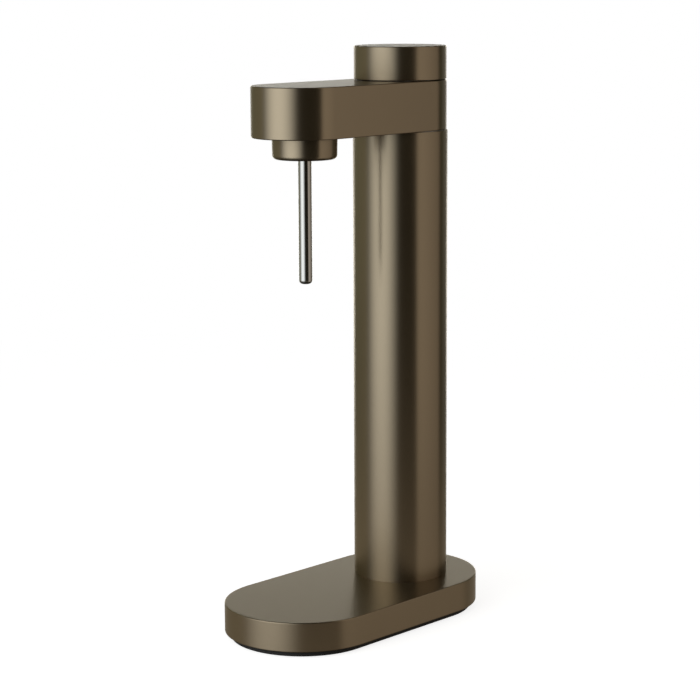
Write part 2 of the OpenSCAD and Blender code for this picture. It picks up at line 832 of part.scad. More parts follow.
module knob_bearing() {
    color(white_plastic) at_column() difference() {
        union() {
            rod(sleeve_r, valve_top_z, sleeve_top_z);
            rod(bearing_flange_r, arm_top_z, bearing_flange_top_z);
            rod(shoulder_r, arm_top_z, shoulder_top_z);
            rod(nut_thread_r, sleeve_top_z - cut, sleeve_top_z + nut_h);
        }
        rod(sleeve_bore_r, valve_top_z - cut, sleeve_top_z + nut_h + cut);
        translate([-shoulder_r - cut, -slot_w / 2, slot_z0])
            cube([2 * (shoulder_r + cut), slot_w, sleeve_top_z + nut_h + cut - slot_z0]);
        ring_of(bolt_angles, bolt_ring_r) rod(m4_hole_r, arm_top_z - cut, bearing_flange_top_z + cut);
        stop_pin_places() rod(stop_pin_r + seat_fit, arm_top_z - cut, bearing_flange_top_z + cut);
    }
}

module bearing_bolts() {
    color(steel) at_column() ring_of(bolt_angles, bolt_ring_r)
        translate([0, 0, bearing_flange_top_z])
            socket_screw(m4_r, bearing_flange_top_z - valve_flange_top_z + bolt_grip,
                         m4_head_r, m4_head_h, m4_hex_r);
}

// The two places where a pin stops the hub's lug, before and after its turn
module stop_pin_places() {
    ring_of([stop_lug_angle + stop_pin_offset_angle,
             stop_lug_angle - knob_turn - stop_pin_offset_angle], lug_ring_r)
        children();
}

module stop_pins() {
    color(steel) at_column() stop_pin_places()
        rod(stop_pin_r, arm_top_z, bearing_flange_top_z + stop_pin_h);
}

module bearing_nut() {
    color(brass) at_column() difference() {
        ring(nut_r, nut_thread_r + seat_fit, sleeve_top_z, sleeve_top_z + nut_h);
        for (a = nut_slot_angles)
            rotate(a) translate([-nut_r - cut, -cross_pin_r, sleeve_top_z + nut_h / 2])
                cube([2 * (nut_r + cut), 2 * cross_pin_r, nut_h]);
    }
}

module knob_shell() {
    color(bronze) at_column() rotate_extrude() translate([0, knob_z0]) difference() {
        intersection() {
            rounded_half(knob_r, knob_h, knob_edge_r, knob_lower_edge_r);
            square([knob_r, knob_h]);
        }
        translate([0, -cut]) square([knob_bore_r, knob_h - knob_top_wall + cut]);
    }
}

module knob_hub() {
    color(plastic) at_column() {
        ring(hub_tube_r, sleeve_r + running_fit, hub_bearing_z0, nut_seat_z);
        ring(hub_tube_r, nut_pocket_r, nut_seat_z, web_z0);
        ring(knob_bore_r - seat_fit, nut_pocket_r, web_z0, web_top_z);
        rotate(stop_lug_angle) translate([lug_ring_r - lug_l / 2, -lug_w / 2, stop_lug_z0])
            cube([lug_l, lug_w, web_z0 - stop_lug_z0 + web_t / 2]);
    }
}

// Height of the cam's face above its place over the pin at rest, over half a turn
function cam_face(a) =
    let (end_angle = knob_turn + cam_lead_angle, b = a > 180 - cam_lead_angle ? a - 180 : a)
    b <= end_angle
        ? -cam_drop * b / knob_turn
        : -cam_drop * (end_angle / knob_turn
            - (b - end_angle) / (180 - end_angle - cam_lead_angle) * (1 + 2 * cam_lead_angle / knob_turn));

module knob_cam() {
    count = 360 / cam_step_angle;
    points = [
        for (i = [0:count - 1])
            let (a = i * cam_step_angle, z = cam_face_z + cam_face(a % 180))
            each [
                [cam_in_r * cos(a), cam_in_r * sin(a), z],
                [cam_out_r * cos(a), cam_out_r * sin(a), z],
                [cam_out_r * cos(a), cam_out_r * sin(a), web_z0],
                [cam_in_r * cos(a), cam_in_r * sin(a), web_z0]
            ]
    ];
    faces = [
        for (i = [0:count - 1]) for (j = [0:3])
            let (k = (j + 1) % 4, p = i * 4, q = ((i + 1) % count) * 4)
            each [[p + j, p + k, q + k], [p + j, q + k, q + j]]
    ];
    color(white_plastic) at_column() polyhedron(points = points, faces = faces);
}

module cam_follower() {
    color(plastic) at_column() difference() {
        rod(follower_r, follower_z0, follower_z0 + follower_h);
        translate([0, 0, cross_pin_z]) rotate([0, 90, 0])
            cylinder(r = cross_pin_r + seat_fit, h = 2 * (follower_r + cut), center = true);
        rod(rod_r + seat_fit, follower_z0 - cut, follower_z0 + rod_seat);
    }
}

module cross_pin() {
    color(steel) at_column() translate([-cross_pin_end, 0, cross_pin_z]) rotate([0, 90, 0])
        cylinder(r = cross_pin_r, h = 2 * cross_pin_end);
}

module push_rod() {
    color(steel) at_column() rod(rod_r, rod_z0, follower_z0 + rod_seat);
}

module return_spring() {
    color(steel) at_column()
        coil_spring(valve_top_z, follower_z0, return_mean_r, return_wire_r, return_turns,
                    wire_sides, wire_steps);
}

// Nozzle head, tube and collar

module nozzle_head() {
    color(brass) at_nozzle() difference() {
        union() {
            rod(head_r, plate_top_z, head_top_z);
            rod(spigot_r, nozzle_nut_z0, plate_top_z + cut);
            translate([0, 0, outlet_z]) rotate([-90, 0, 0]) cylinder(r = port_r, h = head_port_end);
        }
        rod(tube_seat_r, nozzle_nut_z0 - cut, tube_top_z + clear);
        rod(head_passage_r, tube_top_z, outlet_z + head_passage_over);
        rod(relief_seat_r, outlet_z, relief_seat_z + cut);
        rod(relief_bore_r, relief_seat_z, head_top_z + cut);
        rod(relief_thread_r, head_top_z - relief_thread_h, head_top_z + cut);
        rod(o_ring_r + seat_fit, o_ring_z0, o_ring_z0 + o_ring_t);
        translate([0, 0, outlet_z]) rotate([-90, 0, 0]) cylinder(r = port_bore_r, h = head_port_end + cut);
        translate([0, head_port_end - port_seat, outlet_z]) rotate([-90, 0, 0])
            cylinder(r = line_bore_r, h = port_seat + cut);
    }
}

module nozzle_nut() {
    color(brass) at_nozzle() difference() {
        translate([0, 0, nozzle_nut_z0]) cylinder(r = nozzle_nut_r, h = nozzle_nut_h, $fn = 6);
        rod(spigot_r + seat_fit, nozzle_nut_z0 - cut, collar_roof_z + cut);
    }
}

module nozzle_o_ring() {
    color(rubber) at_nozzle() ring(o_ring_r, tube_seat_r, o_ring_z0, o_ring_z0 + o_ring_t);
}

module nozzle_tube() {
    color(steel) at_nozzle() rotate_extrude() difference() {
        union() {
            translate([0, tube_tip_z]) square([tube_r - tube_tip_r, tube_top_z - tube_tip_z]);
            translate([0, tube_tip_z + tube_tip_r]) square([tube_r, tube_top_z - tube_tip_z - tube_tip_r]);
            intersection() {
                translate([tube_r - tube_tip_r, tube_tip_z + tube_tip_r]) circle(tube_tip_r);
                translate([0, tube_tip_z]) square([tube_r, 2 * tube_tip_r]);
            }
        }
        translate([0, tube_tip_z + tube_tip_wall]) square([tube_bore_r, tube_top_z - tube_tip_z]);
        translate([0, tube_tip_z - cut]) square([outlet_r, tube_tip_wall + 2 * cut]);
    }
}

module bottle_collar() {
    color(bronze) at_nozzle() difference() {
        rotate_extrude() translate([0, collar_z0]) {
            square([collar_lower_r - collar_edge_r, collar_h]);
            polygon([[0, collar_edge_r], [collar_lower_r, collar_edge_r], [collar_r, collar_h], [0, collar_h]]);
            translate([collar_lower_r - collar_edge_r, collar_edge_r]) circle(collar_edge_r);
        }
        rod(socket_r, collar_z0 - cut, collar_roof_z);
        rod(spigot_hole_r, collar_roof_z - cut, arm_z0 + cut);
        ring_of(collar_screw_angles, collar_screw_ring_r)
            rod(m3_tapped_r, arm_z0 - collar_screw_grip - m3_r, arm_z0 + cut);
    }
}

module collar_screws() {
    color(steel) at_nozzle() ring_of(collar_screw_angles, collar_screw_ring_r)
        translate([0, 0, plate_top_z])
            socket_screw(m3_r, plate_t + collar_screw_grip, m3_head_r, m3_head_h, m3_hex_r);
}

module bottle_seal() {
    color(silicone) at_nozzle() ring(bottle_seal_r, bottle_seal_in_r, collar_roof_z - bottle_seal_t, collar_roof_z);
}

// Relief valve

module relief_poppet() {
    color(steel) at_nozzle() {
        rod(poppet_r, poppet_z0, poppet_z0 + poppet_h);
        rod(stem_r, poppet_z0, stem_top_z);
    }
}

module relief_spring() {
    color(steel) at_nozzle()
        coil_spring(poppet_z0 + poppet_h, relief_roof_z, relief_mean_r, relief_wire_r, relief_turns,
                    fine_wire_sides, fine_wire_steps);
}

module relief_cap() {
    color(brass) at_nozzle() difference() {
        union() {
            rod(relief_cap_r, head_top_z, relief_cap_top_z);
            rod(relief_thread_r - seat_fit, head_top_z - relief_thread_h, head_top_z + cut);
        }
        rod(relief_bore_r, head_top_z - relief_thread_h - cut, relief_roof_z);
        rod(stem_r + clear, relief_roof_z - cut, relief_cap_top_z + cut);
        ring_of(vent_angles, vent_ring_r) rod(vent_r, relief_roof_z - cut, relief_cap_top_z + cut);
    }
}

foot_pad();
bottom_plate();
bottom_plate_screws();
ballast_plate();
base_shell();
column_foot_flange();
column_foot_screws();
column_tube();
column_head_ring();
hatch_cover();
hatch_pad();
gas_cylinder();
cylinder_valve();
valve_pin();
pin_spring();
arm_base_plate();
arm_shell();
arm_screws();
valve_body();
valve_body_screws();
cylinder_seal();
rod_seal();
gas_line();
gas_line_nuts();
knob_bearing();
bearing_bolts();
stop_pins();
bearing_nut();
knob_shell();
knob_hub();
knob_cam();
cam_follower();
cross_pin();
push_rod();
return_spring();
nozzle_head();
nozzle_nut();
nozzle_o_ring();
nozzle_tube();
bottle_collar();
collar_screws();
bottle_seal();
relief_poppet();
relief_spring();
relief_cap();
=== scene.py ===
"""Sparkling water maker in satin bronze: shells, tube and pad as worked-out surfaces round the CAD frame."""

import json
import math

import bmesh
import bpy
import numpy as np
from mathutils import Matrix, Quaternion, Vector


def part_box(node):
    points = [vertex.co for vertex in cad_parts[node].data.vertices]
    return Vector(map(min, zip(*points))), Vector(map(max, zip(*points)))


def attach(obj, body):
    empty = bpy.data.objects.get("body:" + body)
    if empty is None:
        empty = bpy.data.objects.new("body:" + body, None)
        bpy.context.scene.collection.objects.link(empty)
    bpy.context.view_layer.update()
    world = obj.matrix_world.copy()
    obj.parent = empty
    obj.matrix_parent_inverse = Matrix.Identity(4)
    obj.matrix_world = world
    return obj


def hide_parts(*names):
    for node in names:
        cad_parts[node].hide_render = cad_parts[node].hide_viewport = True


bl_info = {
    "name": "Sparkling water maker",
    "version": (1, 0, 0),
    "blender": (4, 5, 0),
    "location": "3D View > Sidebar > Water maker",
    "description": "Dresses the packed sparkling water maker and sets its studio",
    "category": "Object",
}

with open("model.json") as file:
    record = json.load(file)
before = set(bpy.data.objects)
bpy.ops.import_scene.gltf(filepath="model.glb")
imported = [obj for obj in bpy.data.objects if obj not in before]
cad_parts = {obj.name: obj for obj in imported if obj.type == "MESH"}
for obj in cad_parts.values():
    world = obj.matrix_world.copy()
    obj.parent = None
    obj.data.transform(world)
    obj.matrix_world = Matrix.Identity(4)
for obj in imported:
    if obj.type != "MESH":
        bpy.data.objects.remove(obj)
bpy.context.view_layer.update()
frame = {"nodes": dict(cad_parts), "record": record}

MM = 0.001
TAB = "Water maker"

# Points round a full turn, along an end's half turn and along a straight run
TURN_POINTS = 288
END_POINTS = 145
RUN_POINTS = 12
# Points along a rounded edge, and how close its support loops stand
EDGE_POINTS = 9
SUPPORT = 0.25 * MM
# Faces that meet at more than this angle keep a crisp edge
CRISP_ANGLE = math.radians(32)
# Doubles closer than this are merged
MERGE = 0.002 * MM


def half_width(node):
    """Half of a node's size along X."""
    low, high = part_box(node)
    return (high.x - low.x) / 2


def middle_y(node):
    """Middle of a node along Y."""
    low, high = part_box(node)
    return (high.y + low.y) / 2


def heights(node):
    """Lowest and highest point of a node."""
    low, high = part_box(node)
    return low.z, high.z


def end_distance(node):
    """Half the distance between the centres of a round-ended node's ends."""
    low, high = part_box(node)
    return (high.y - low.y) / 2 - half_width(node)


column_y = middle_y("column_tube")
nozzle_y = middle_y("nozzle_tube")


# Sizes and colours that a user would change

class MakerSizes(bpy.types.PropertyGroup):
    """Walls and roundings of the visible pieces; their outer sizes come from the frame."""

    base_edge: bpy.props.FloatProperty(
        name="Base edge", description="Rounding of the base shell's edges", default=0.8 * MM, unit="LENGTH")
    base_wall: bpy.props.FloatProperty(
        name="Base wall", description="Wall and top of the base shell", default=3 * MM, unit="LENGTH")
    pad_edge: bpy.props.FloatProperty(
        name="Pad edge", description="Rounding of the foot pad's edges", default=0.5 * MM, unit="LENGTH")
    pad_hole_r: bpy.props.FloatProperty(
        name="Pad hole", description="Radius of the foot pad's hole round the hatch",
        default=37.9 * MM, unit="LENGTH")
    column_wall: bpy.props.FloatProperty(
        name="Column wall", description="Wall of the column tube", default=2 * MM, unit="LENGTH")
    column_edge: bpy.props.FloatProperty(
        name="Column edge", description="Rounding of the column tube's rims", default=0.25 * MM,
        unit="LENGTH")
    arm_edge: bpy.props.FloatProperty(
        name="Arm edge", description="Rounding of the arm's edges", default=0.9 * MM, unit="LENGTH")
    arm_wall: bpy.props.FloatProperty(
        name="Arm wall", description="Wall and top of the arm shell", default=3 * MM, unit="LENGTH")
    arm_hole_r: bpy.props.FloatProperty(
        name="Arm hole", description="Radius of the hole that the knob's bearing passes through",
        default=13.3 * MM, unit="LENGTH")
    knob_edge: bpy.props.FloatProperty(
        name="Knob edge", description="Rounding of the knob's upper edge", default=0.9 * MM, unit="LENGTH")
    knob_lower_edge: bpy.props.FloatProperty(
        name="Knob lower edge", description="Rounding of the knob's lower edge", default=0.4 * MM,
        unit="LENGTH")
    knob_wall: bpy.props.FloatProperty(
        name="Knob wall", description="Side wall of the knob", default=2.5 * MM, unit="LENGTH")
    knob_top: bpy.props.FloatProperty(
        name="Knob top", description="Top wall of the knob", default=3 * MM, unit="LENGTH")
    collar_edge: bpy.props.FloatProperty(
        name="Collar edge", description="Rounding of the collar's lower edge", default=3 * MM, unit="LENGTH")
    collar_taper: bpy.props.FloatProperty(
        name="Collar taper", description="How much narrower the collar is below", default=0.25 * MM,
        unit="LENGTH")
    collar_roof: bpy.props.FloatProperty(
        name="Collar roof", description="Thickness of the collar over its socket", default=3.5 * MM,
        unit="LENGTH")
    socket_r: bpy.props.FloatProperty(
        name="Socket", description="Radius of the collar's socket", default=18 * MM, unit="LENGTH")
    socket_edge: bpy.props.FloatProperty(
        name="Socket edge", description="Rounding of the socket's mouth", default=0.4 * MM, unit="LENGTH")
    spigot_hole_r: bpy.props.FloatProperty(
        name="Spigot hole", description="Radius of the hole in the collar's roof", default=8.2 * MM,
        unit="LENGTH")
    tip_round: bpy.props.FloatProperty(
        name="Tip rounding", description="Rounding of the tube's tip", default=2.8 * MM, unit="LENGTH")
    tube_wall: bpy.props.FloatProperty(
        name="Tube wall", description="Wall of the carbonating tube", default=1 * MM, unit="LENGTH")
    tip_wall: bpy.props.FloatProperty(
        name="Tip wall", description="Solid length at the tube's tip", default=4.5 * MM, unit="LENGTH")
    outlet_r: bpy.props.FloatProperty(
        name="Outlet", description="Radius of the outlet in the tip", default=0.8 * MM, unit="LENGTH")


class MakerFinish(bpy.types.PropertyGroup):
    """Colours and gloss of the finishes."""

    bronze: bpy.props.FloatVectorProperty(
        name="Bronze", description="Colour of the satin bronze", size=3, subtype="COLOR",
        default=(0.31, 0.258, 0.186))
    bronze_rim: bpy.props.FloatVectorProperty(
        name="Bronze rim", description="Tint of the bronze at a grazing angle", size=3, subtype="COLOR",
        default=(0.84, 0.82, 0.78))
    bronze_roughness: bpy.props.FloatProperty(
        name="Bronze roughness", description="Roughness of the satin bronze", default=0.31, subtype="FACTOR")
    bronze_grain: bpy.props.FloatProperty(
        name="Bronze grain", description="How much wider the sheen spreads up and down than round",
        default=0.65, subtype="FACTOR")
    steel: bpy.props.FloatVectorProperty(
        name="Steel", description="Colour of the polished steel", size=3, subtype="COLOR",
        default=(0.5, 0.5, 0.49))
    steel_roughness: bpy.props.FloatProperty(
        name="Steel roughness", description="Roughness of the polished steel", default=0.11,
        subtype="FACTOR")
    rubber: bpy.props.FloatVectorProperty(
        name="Rubber", description="Colour of the foot pad", size=3, subtype="COLOR",
        default=(0.02, 0.02, 0.021))


class MakerStudio(bpy.types.PropertyGroup):
    """Camera, lamps and cards round the object."""

    camera_place: bpy.props.FloatVectorProperty(
        name="Camera place", description="Where the camera stands", size=3, subtype="TRANSLATION",
        default=(1.0507, -1.1399, 0.4782))
    camera_heading: bpy.props.FloatVectorProperty(
        name="Camera heading", description="Level direction that the camera looks in", size=2,
        default=(-0.6785, 0.7346))
    camera_pitch: bpy.props.FloatProperty(
        name="Camera pitch", description="How far the camera looks down", default=math.radians(9.99),
        subtype="ANGLE")
    camera_roll: bpy.props.FloatProperty(
        name="Camera roll", description="Turn of the camera about its own axis",
        default=math.radians(-0.263), subtype="ANGLE")
    camera_lens: bpy.props.FloatProperty(
        name="Lens", description="Focal length in millimetres on a 36 mm sensor", default=109.7)
    key_strength: bpy.props.FloatProperty(
        name="Key", description="Brightness of the front softbox, where 1 is white", default=1.74)
    floor_light: bpy.props.FloatProperty(
        name="Floor level", description="How bright the lit sweep is without its lift to white",
        default=0.18)


# Surfaces

def arc(centre_r, centre_z, radius, start, end):
    """Points of an arc in the profile plane: centre plus radius times cosine and sine, angles in degrees."""
    turn = np.radians(np.linspace(start, end, EDGE_POINTS))
    return np.stack([centre_r + radius * np.cos(turn), centre_z + radius * np.sin(turn)], -1)


def outer_wall(radius, low, high, low_edge, high_edge):
    """Profile up an outer wall: quarter arc, support points beside both arcs, quarter arc."""
    return np.vstack([
        arc(radius - low_edge, low + low_edge, low_edge, -90, 0),
        [[radius, low + low_edge + SUPPORT], [radius, high - high_edge - SUPPORT]],
        arc(radius - high_edge, high - high_edge, high_edge, 0, 90),
        [[radius - high_edge - SUPPORT, high]],
    ])


def strip_faces(rows, columns, closed):
    """Quads between neighbouring loops of a grid whose columns join up, and its rows too if closed."""
    row = np.arange(rows if closed else rows - 1)[:, None]
    column = np.arange(columns)[None, :]
    following = (row + 1) % rows
    right = (column + 1) % columns
    corners = [row * columns + column, row * columns + right,
               following * columns + right, following * columns + column]
    return np.stack(corners, -1).reshape(-1, 4)


def turned_points(profile, axis_y):
    """Solid of revolution: x = r cos t, y = axis + r sin t, z from the profile, for t over a full turn."""
    turn = np.linspace(0, 2 * math.pi, TURN_POINTS, endpoint=False)
    radius, height = profile[:, :1], profile[:, 1:]
    return np.stack([
        radius * np.cos(turn), axis_y + radius * np.sin(turn), height + 0 * turn], -1)


def round_ended_course(end):
    """Course round two end centres: its outward angle t and its centre's y at each point.

    Over each end t runs through half a turn about a fixed centre. Between them t is fixed and the
    centre moves."""
    first = np.linspace(0, math.pi, END_POINTS)
    run = np.linspace(end, -end, RUN_POINTS + 2)[1:-1]
    turn = np.concatenate([
        first, np.full(RUN_POINTS, math.pi), first + math.pi, np.full(RUN_POINTS, 2 * math.pi)])
    centre = np.concatenate([np.full(END_POINTS, end), run, np.full(END_POINTS, -end), -run])
    return turn, centre


def round_ended_points(profile, end):
    """Profile carried round the course: x = r cos t, y = centre + r sin t, z from the profile."""
    turn, centre = round_ended_course(end)
    radius, height = profile[:, :1], profile[:, 1:]
    return np.stack([
        radius * np.cos(turn), centre + radius * np.sin(turn), height + 0 * turn], -1)


def hole_points(profile, rim, axis_y):
    """Loops of a round hole, each point in the rim's own direction from the hole's axis."""
    turn = np.arctan2(rim[:, 1] - axis_y, rim[:, 0])
    radius, height = profile[:, :1], profile[:, 1:]
    return np.stack([
        radius * np.cos(turn), axis_y + radius * np.sin(turn), height + 0 * turn], -1)


def make_piece(name, points, closed, material, body, node):
    """Mesh from a grid of loops: doubles merged, faces turned outwards, smooth with crisp edges."""
    rows, columns = points.shape[:2]
    mesh = bpy.data.meshes.new(name)
    mesh.from_pydata(points.reshape(-1, 3), [], strip_faces(rows, columns, closed))
    work = bmesh.new()
    work.from_mesh(mesh)
    bmesh.ops.remove_doubles(work, verts=work.verts, dist=MERGE)
    bmesh.ops.recalc_face_normals(work, faces=work.faces)
    work.to_mesh(mesh)
    work.free()
    mesh.shade_smooth()
    mesh.set_sharp_from_angle(angle=CRISP_ANGLE)
    mesh.materials.append(material)
    piece = bpy.data.objects.new(name, mesh)
    bpy.context.scene.collection.objects.link(piece)
    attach(piece, body)
    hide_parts(node)
    return piece


# Node groups and finishes

def add_node(tree, kind, inputs=None, **attributes):
    """A shader node with its settings and the values of its named inputs."""
    node = tree.nodes.new(kind)
    for name, value in attributes.items():
        setattr(node, name, value)
    for name, value in (inputs or {}).items():
        node.inputs[name].default_value = value
    return node


def wire(tree, *pairs):
    """Links each pair's output to its input."""
    for source, target in pairs:
        tree.links.new(source, target)


def new_group(name, inputs, outputs):
    """An empty node group with named float, colour or vector sockets, and its two end nodes."""
    group = bpy.data.node_groups.new(name, "ShaderNodeTree")
    for label, (kind, value) in inputs.items():
        socket = group.interface.new_socket(label, in_out="INPUT", socket_type=kind)
        if value is not None:
            socket.default_value = value
    for label, kind in outputs.items():
        group.interface.new_socket(label, in_out="OUTPUT", socket_type=kind)
    return group, group.nodes.new("NodeGroupInput"), group.nodes.new("NodeGroupOutput")


def blasted_grain_group():
    """Even grain of a blasted and anodised face: fine noise as a height and coarse noise as a mask."""
    group, given, made = new_group(
        "blasted_grain",
        {"Vector": ("NodeSocketVector", None), "Grain Scale": ("NodeSocketFloat", 5200.0),
         "Haze Scale": ("NodeSocketFloat", 22.0)},
        {"Height": "NodeSocketFloat", "Haze": "NodeSocketFloat"})
    fine = add_node(group, "ShaderNodeTexNoise", {"Detail": 2.0, "Roughness": 0.6})
    haze = add_node(group, "ShaderNodeTexNoise", {"Detail": 3.0, "Roughness": 0.55, "Distortion": 0.4})
    wire(group,
         (given.outputs["Vector"], fine.inputs["Vector"]),
         (given.outputs["Vector"], haze.inputs["Vector"]),
         (given.outputs["Grain Scale"], fine.inputs["Scale"]),
         (given.outputs["Haze Scale"], haze.inputs["Scale"]),
         (fine.outputs["Fac"], made.inputs["Height"]),
         (haze.outputs["Fac"], made.inputs["Haze"]))
    return group


def turning_marks_group():
    """Fine rings of a turned face: a wave along Z as a height and noise as a mask."""
    group, given, made = new_group(
        "turning_marks",
        {"Vector": ("NodeSocketVector", None), "Pitch Scale": ("NodeSocketFloat", 900.0),
         "Wander": ("NodeSocketFloat", 3.0)},
        {"Height": "NodeSocketFloat", "Mask": "NodeSocketFloat"})
    rings = add_node(group, "ShaderNodeTexWave", {"Detail": 2.0, "Detail Scale": 1.5}, bands_direction="Z")
    patch = add_node(group, "ShaderNodeTexNoise", {"Scale": 60.0, "Detail": 3.0})
    wire(group,
         (given.outputs["Vector"], rings.inputs["Vector"]),
         (given.outputs["Vector"], patch.inputs["Vector"]),
         (given.outputs["Pitch Scale"], rings.inputs["Scale"]),
         (given.outputs["Wander"], rings.inputs["Distortion"]),
         (rings.outputs["Fac"], made.inputs["Height"]),
         (patch.outputs["Fac"], made.inputs["Mask"]))
    return group


def moulded_texture_group():
    """Fine pebbled texture of moulded plastic and rubber: cells for the pebbles and noise for the tone."""
    group, given, made = new_group(
        "moulded_texture",
        {"Vector": ("NodeSocketVector", None), "Pebble Scale": ("NodeSocketFloat", 1800.0),
         "Tone Scale": ("NodeSocketFloat", 35.0)},
        {"Height": "NodeSocketFloat", "Tone": "NodeSocketFloat"})
    pebbles = add_node(group, "ShaderNodeTexVoronoi", feature="SMOOTH_F1")
    tone = add_node(group, "ShaderNodeTexNoise", {"Detail": 4.0, "Roughness": 0.6})
    wire(group,
         (given.outputs["Vector"], pebbles.inputs["Vector"]),
         (given.outputs["Vector"], tone.inputs["Vector"]),
         (given.outputs["Pebble Scale"], pebbles.inputs["Scale"]),
         (given.outputs["Tone Scale"], tone.inputs["Scale"]),
         (pebbles.outputs["Distance"], made.inputs["Height"]),
         (tone.outputs["Fac"], made.inputs["Tone"]))
    return group


GROUP_MAKERS = {
    "blasted_grain": blasted_grain_group,
    "turning_marks": turning_marks_group,
    "moulded_texture": moulded_texture_group,
}


def surface_group(name):
    """The named node group, made on its first use."""
    return bpy.data.node_groups.get(name) or GROUP_MAKERS[name]()


def start_material(name, texture, texture_values, shader_values):
    """A material with its shader, output and one texture group that reads Object coordinates."""
    material = bpy.data.materials.new(name)
    material.use_nodes = True
    tree = material.node_tree
    tree.nodes.clear()
    output = tree.nodes.new("ShaderNodeOutputMaterial")
    shader = add_node(tree, "ShaderNodeBsdfPrincipled", shader_values)
    place = tree.nodes.new("ShaderNodeTexCoord")
    grain = tree.nodes.new("ShaderNodeGroup")
    grain.node_tree = surface_group(texture)
    for label, value in texture_values.items():
        grain.inputs[label].default_value = value
    wire(tree,
         (place.outputs["Object"], grain.inputs["Vector"]),
         (shader.outputs["BSDF"], output.inputs["Surface"]))
    return material, tree, shader, grain


def vary_colour(tree, shader, mask, colour, share):
    """Base Color from the mask: from a little darker to a little lighter than the colour."""
    mix = add_node(tree, "ShaderNodeMix", data_type="RGBA")
    mix.inputs["A"].default_value = (*[c * (1 - share) for c in colour], 1)
    mix.inputs["B"].default_value = (*[min(c * (1 + share), 1) for c in colour], 1)
    wire(tree, (mask, mix.inputs["Factor"]), (mix.outputs["Result"], shader.inputs["Base Color"]))


def vary_roughness(tree, shader, mask, middle, below, above):
    """Roughness from the mask, from so much below the middle to so much above it."""
    spread = add_node(tree, "ShaderNodeMapRange", {"To Min": middle - below, "To Max": middle + above})
    wire(tree, (mask, spread.inputs["Value"]), (spread.outputs["Result"], shader.inputs["Roughness"]))


def raise_grain(tree, shader, height, strength, depth):
    """Bump from a height, depth in metres."""
    bump = add_node(tree, "ShaderNodeBump", {"Strength": strength, "Distance": depth})
    wire(tree, (height, bump.inputs["Height"]), (bump.outputs["Normal"], shader.inputs["Normal"]))


# Direction in which the bronze's sheen spreads: up, with a trace of Y for the level faces
SHEEN_DIRECTION = {"Y": 0.01, "Z": 1.0}


def satin_bronze():
    """Blasted and anodised bronze-coloured aluminium: even satin sheen, faint drift in tone and gloss."""
    finish = bpy.context.scene.maker_finish
    material, tree, shader, grain = start_material(
        "satin_bronze", "blasted_grain", {},
        {"Metallic": 1.0, "Specular Tint": (*finish.bronze_rim, 1), "Anisotropic": finish.bronze_grain})
    upward = add_node(tree, "ShaderNodeCombineXYZ", SHEEN_DIRECTION)
    wire(tree, (upward.outputs["Vector"], shader.inputs["Tangent"]))
    vary_colour(tree, shader, grain.outputs["Haze"], finish.bronze, share=0.04)
    vary_roughness(tree, shader, grain.outputs["Haze"], finish.bronze_roughness, below=0.02, above=0.02)
    raise_grain(tree, shader, grain.outputs["Height"], strength=0.06, depth=0.02 * MM)
    return material


def polished_steel():
    """Polished tube: bright, with a faint drift in its gloss."""
    finish = bpy.context.scene.maker_finish
    material, tree, shader, grain = start_material(
        "polished_steel", "turning_marks", {"Pitch Scale": 400.0}, {"Metallic": 1.0})
    vary_colour(tree, shader, grain.outputs["Mask"], finish.steel, share=0.03)
    vary_roughness(tree, shader, grain.outputs["Mask"], finish.steel_roughness, below=0.02, above=0.03)
    raise_grain(tree, shader, grain.outputs["Height"], strength=0.03, depth=0.01 * MM)
    return material


def turned_metal(name, colour, roughness):
    """Turned or plated metal of the inner pieces."""
    material, tree, shader, grain = start_material(name, "turning_marks", {}, {"Metallic": 1.0})
    vary_colour(tree, shader, grain.outputs["Mask"], colour, share=0.08)
    vary_roughness(tree, shader, grain.outputs["Mask"], roughness, below=0.08, above=0.1)
    raise_grain(tree, shader, grain.outputs["Height"], strength=0.15, depth=0.02 * MM)
    return material


def coated_metal(name, colour, roughness):
    """Metal under a matt coat."""
    material, tree, shader, grain = start_material(name, "blasted_grain", {"Grain Scale": 2400.0}, {})
    vary_colour(tree, shader, grain.outputs["Haze"], colour, share=0.12)
    vary_roughness(tree, shader, grain.outputs["Haze"], roughness, below=0.06, above=0.06)
    raise_grain(tree, shader, grain.outputs["Height"], strength=0.2, depth=0.03 * MM)
    return material


def moulded(name, colour, roughness, pebble_scale):
    """Moulded plastic or rubber with a fine pebbled face."""
    material, tree, shader, grain = start_material(
        name, "moulded_texture", {"Pebble Scale": pebble_scale}, {})
    vary_colour(tree, shader, grain.outputs["Tone"], colour, share=0.14)
    vary_roughness(tree, shader, grain.outputs["Tone"], roughness, below=0.07, above=0.07)
    raise_grain(tree, shader, grain.outputs["Height"], strength=0.25, depth=0.04 * MM)
    return material


def clear_silicone():
    """Translucent silicone of the bottle's seal."""
    material = moulded("clear_silicone", colour=(0.62, 0.62, 0.6), roughness=0.42, pebble_scale=1200.0)
    shader = next(node for node in material.node_tree.nodes if node.type == "BSDF_PRINCIPLED")
    shader.inputs["Subsurface Weight"].default_value = 0.4
    shader.inputs["Subsurface Scale"].default_value = 2 * MM
    return material


FINISH_MAKERS = {
    "satin_bronze": satin_bronze,
    "polished_steel": polished_steel,
    "plain_steel": lambda: turned_metal("plain_steel", (0.6, 0.6, 0.59), 0.34),
    "blackened_steel": lambda: coated_metal("blackened_steel", (0.035, 0.035, 0.036), 0.42),
    "cylinder_aluminium": lambda: turned_metal("cylinder_aluminium", (0.68, 0.69, 0.7), 0.4),
    "valve_brass": lambda: turned_metal("valve_brass", (0.74, 0.57, 0.28), 0.28),
    "black_plastic": lambda: moulded("black_plastic", (0.022, 0.022, 0.023), 0.48, 1800.0),
    "white_plastic": lambda: moulded("white_plastic", (0.74, 0.73, 0.69), 0.4, 1500.0),
    "black_rubber": lambda: moulded(
        "black_rubber", tuple(bpy.context.scene.maker_finish.rubber), 0.7, 1400.0),
    "clear_silicone": clear_silicone,
}


